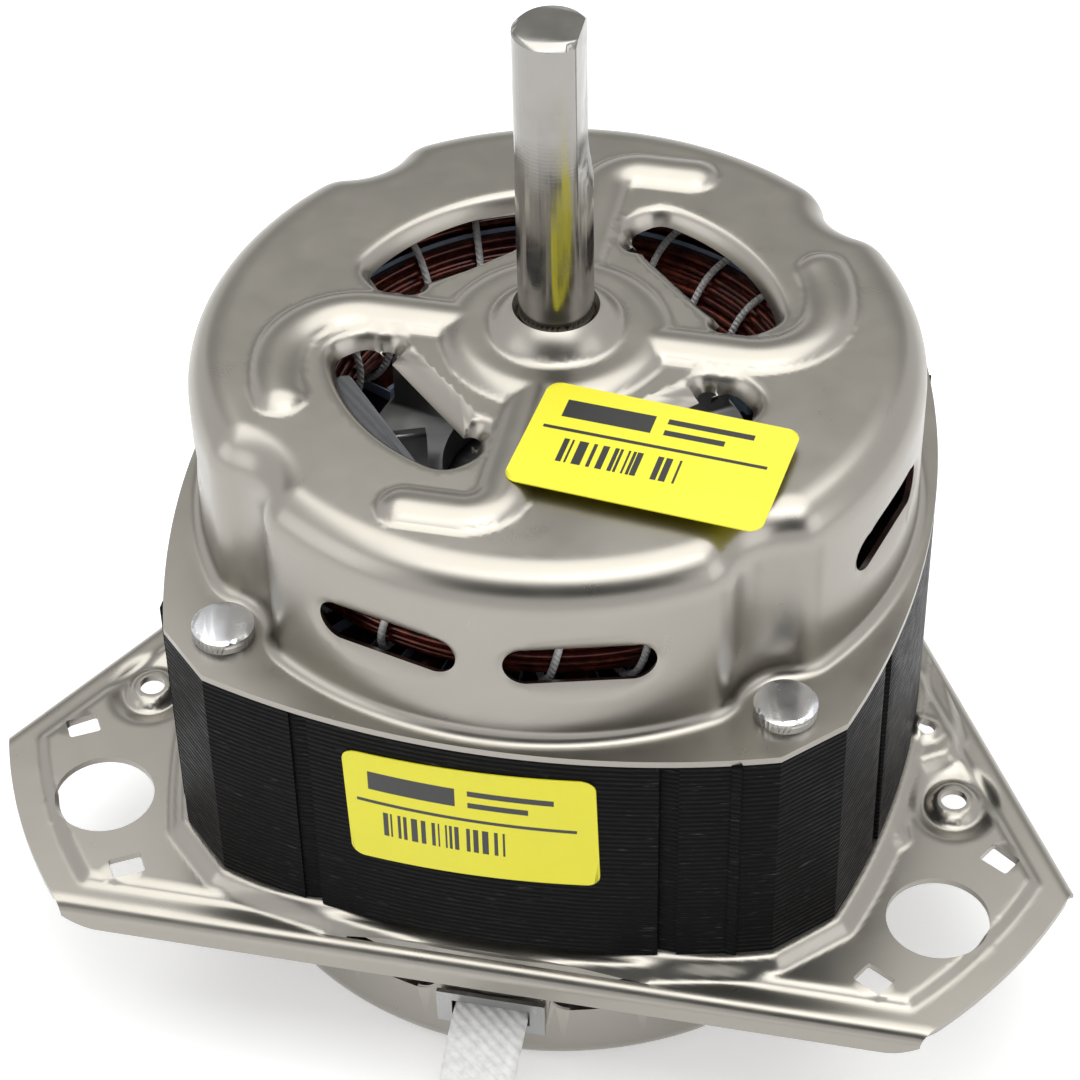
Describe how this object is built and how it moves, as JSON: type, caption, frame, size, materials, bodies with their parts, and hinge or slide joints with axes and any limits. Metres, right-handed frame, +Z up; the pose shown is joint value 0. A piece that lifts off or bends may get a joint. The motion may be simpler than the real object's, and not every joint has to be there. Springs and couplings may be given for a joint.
{
  "type": "washing machine motor",
  "caption": "Vertical-shaft induction motor with domed pressed covers, a black lamination stack, a three-cornered mounting plate and a flatted output shaft.",
  "frame": {"origin": "on the shaft axis, at the flat underside of the lower cover", "axes": "+Z up along the shaft towards its flatted end, +X along the plate's front edge, -Y towards the lead exit"},
  "size_m": [0.2495, 0.2217, 0.1687],
  "materials": {
    "plated_steel": "satin zinc-nickel plated pressed sheet",
    "black_lacquered_steel": "black lacquered lamination edges",
    "insulation_film": "bluish white polyester film",
    "enamelled_copper": "dark red enamelled copper wire",
    "lacing_cord": "white polyester cord",
    "grey_sleeving": "grey varnished sleeving",
    "white_wire": "white insulated wire",
    "zinc_plate": "bright zinc plate",
    "sintered_bronze": "oiled sintered bronze",
    "spring_steel": "plain sheet steel",
    "oil_felt": "oiled felt",
    "ground_steel": "ground bright steel",
    "thrust_plastic": "natural nylon",
    "lamination_steel": "stacked lamination steel",
    "cast_aluminium": "die cast aluminium",
    "white_braid": "flat white woven sleeve",
    "white_nylon": "natural white nylon",
    "yellow_label": "plain yellow paper label"
  },
  "bodies": {
    "housing": {"upper_cover": "plated_steel", "lower_cover": "plated_steel", "stator_core": "black_lacquered_steel", "slot_liners": "insulation_film", "slot_wedges": "insulation_film", "main_winding": "enamelled_copper", "auxiliary_winding": "enamelled_copper", "upper_main_turns": "enamelled_copper", "upper_auxiliary_turns": "enamelled_copper", "lower_main_turns": "enamelled_copper", "lower_auxiliary_turns": "enamelled_copper", "upper_lacing": "lacing_cord", "lower_lacing": "lacing_cord", "phase_insulation": "insulation_film", "thermal_protector": "grey_sleeving", "protector_leads": "white_wire", "through_rivets": "zinc_plate", "upper_bush": "sintered_bronze", "lower_bush": "sintered_bronze", "upper_bush_retainer": "spring_steel", "lower_bush_retainer": "spring_steel", "upper_oil_felt": "oil_felt", "lower_oil_felt": "oil_felt", "lower_bush_seat": "spring_steel", "lead_clip": "spring_steel", "lead_sleeve": "white_braid", "lead_connector": "white_nylon", "front_label": "yellow_label", "top_label": "yellow_label"},
    "rotor": {"shaft": "ground_steel", "shaft_circlips": "spring_steel", "upper_thrust_collar": "thrust_plastic", "lower_thrust_collar": "thrust_plastic", "rotor_core": "lamination_steel", "rotor_cage": "cast_aluminium"}
  },
  "joints": [
    {"name": "rotor_spin", "type": "hinge", "parent": "housing", "child": "rotor", "pos_m": [0, 0, 0], "axis": [0, 0, 1], "continuous": true}
  ]
}
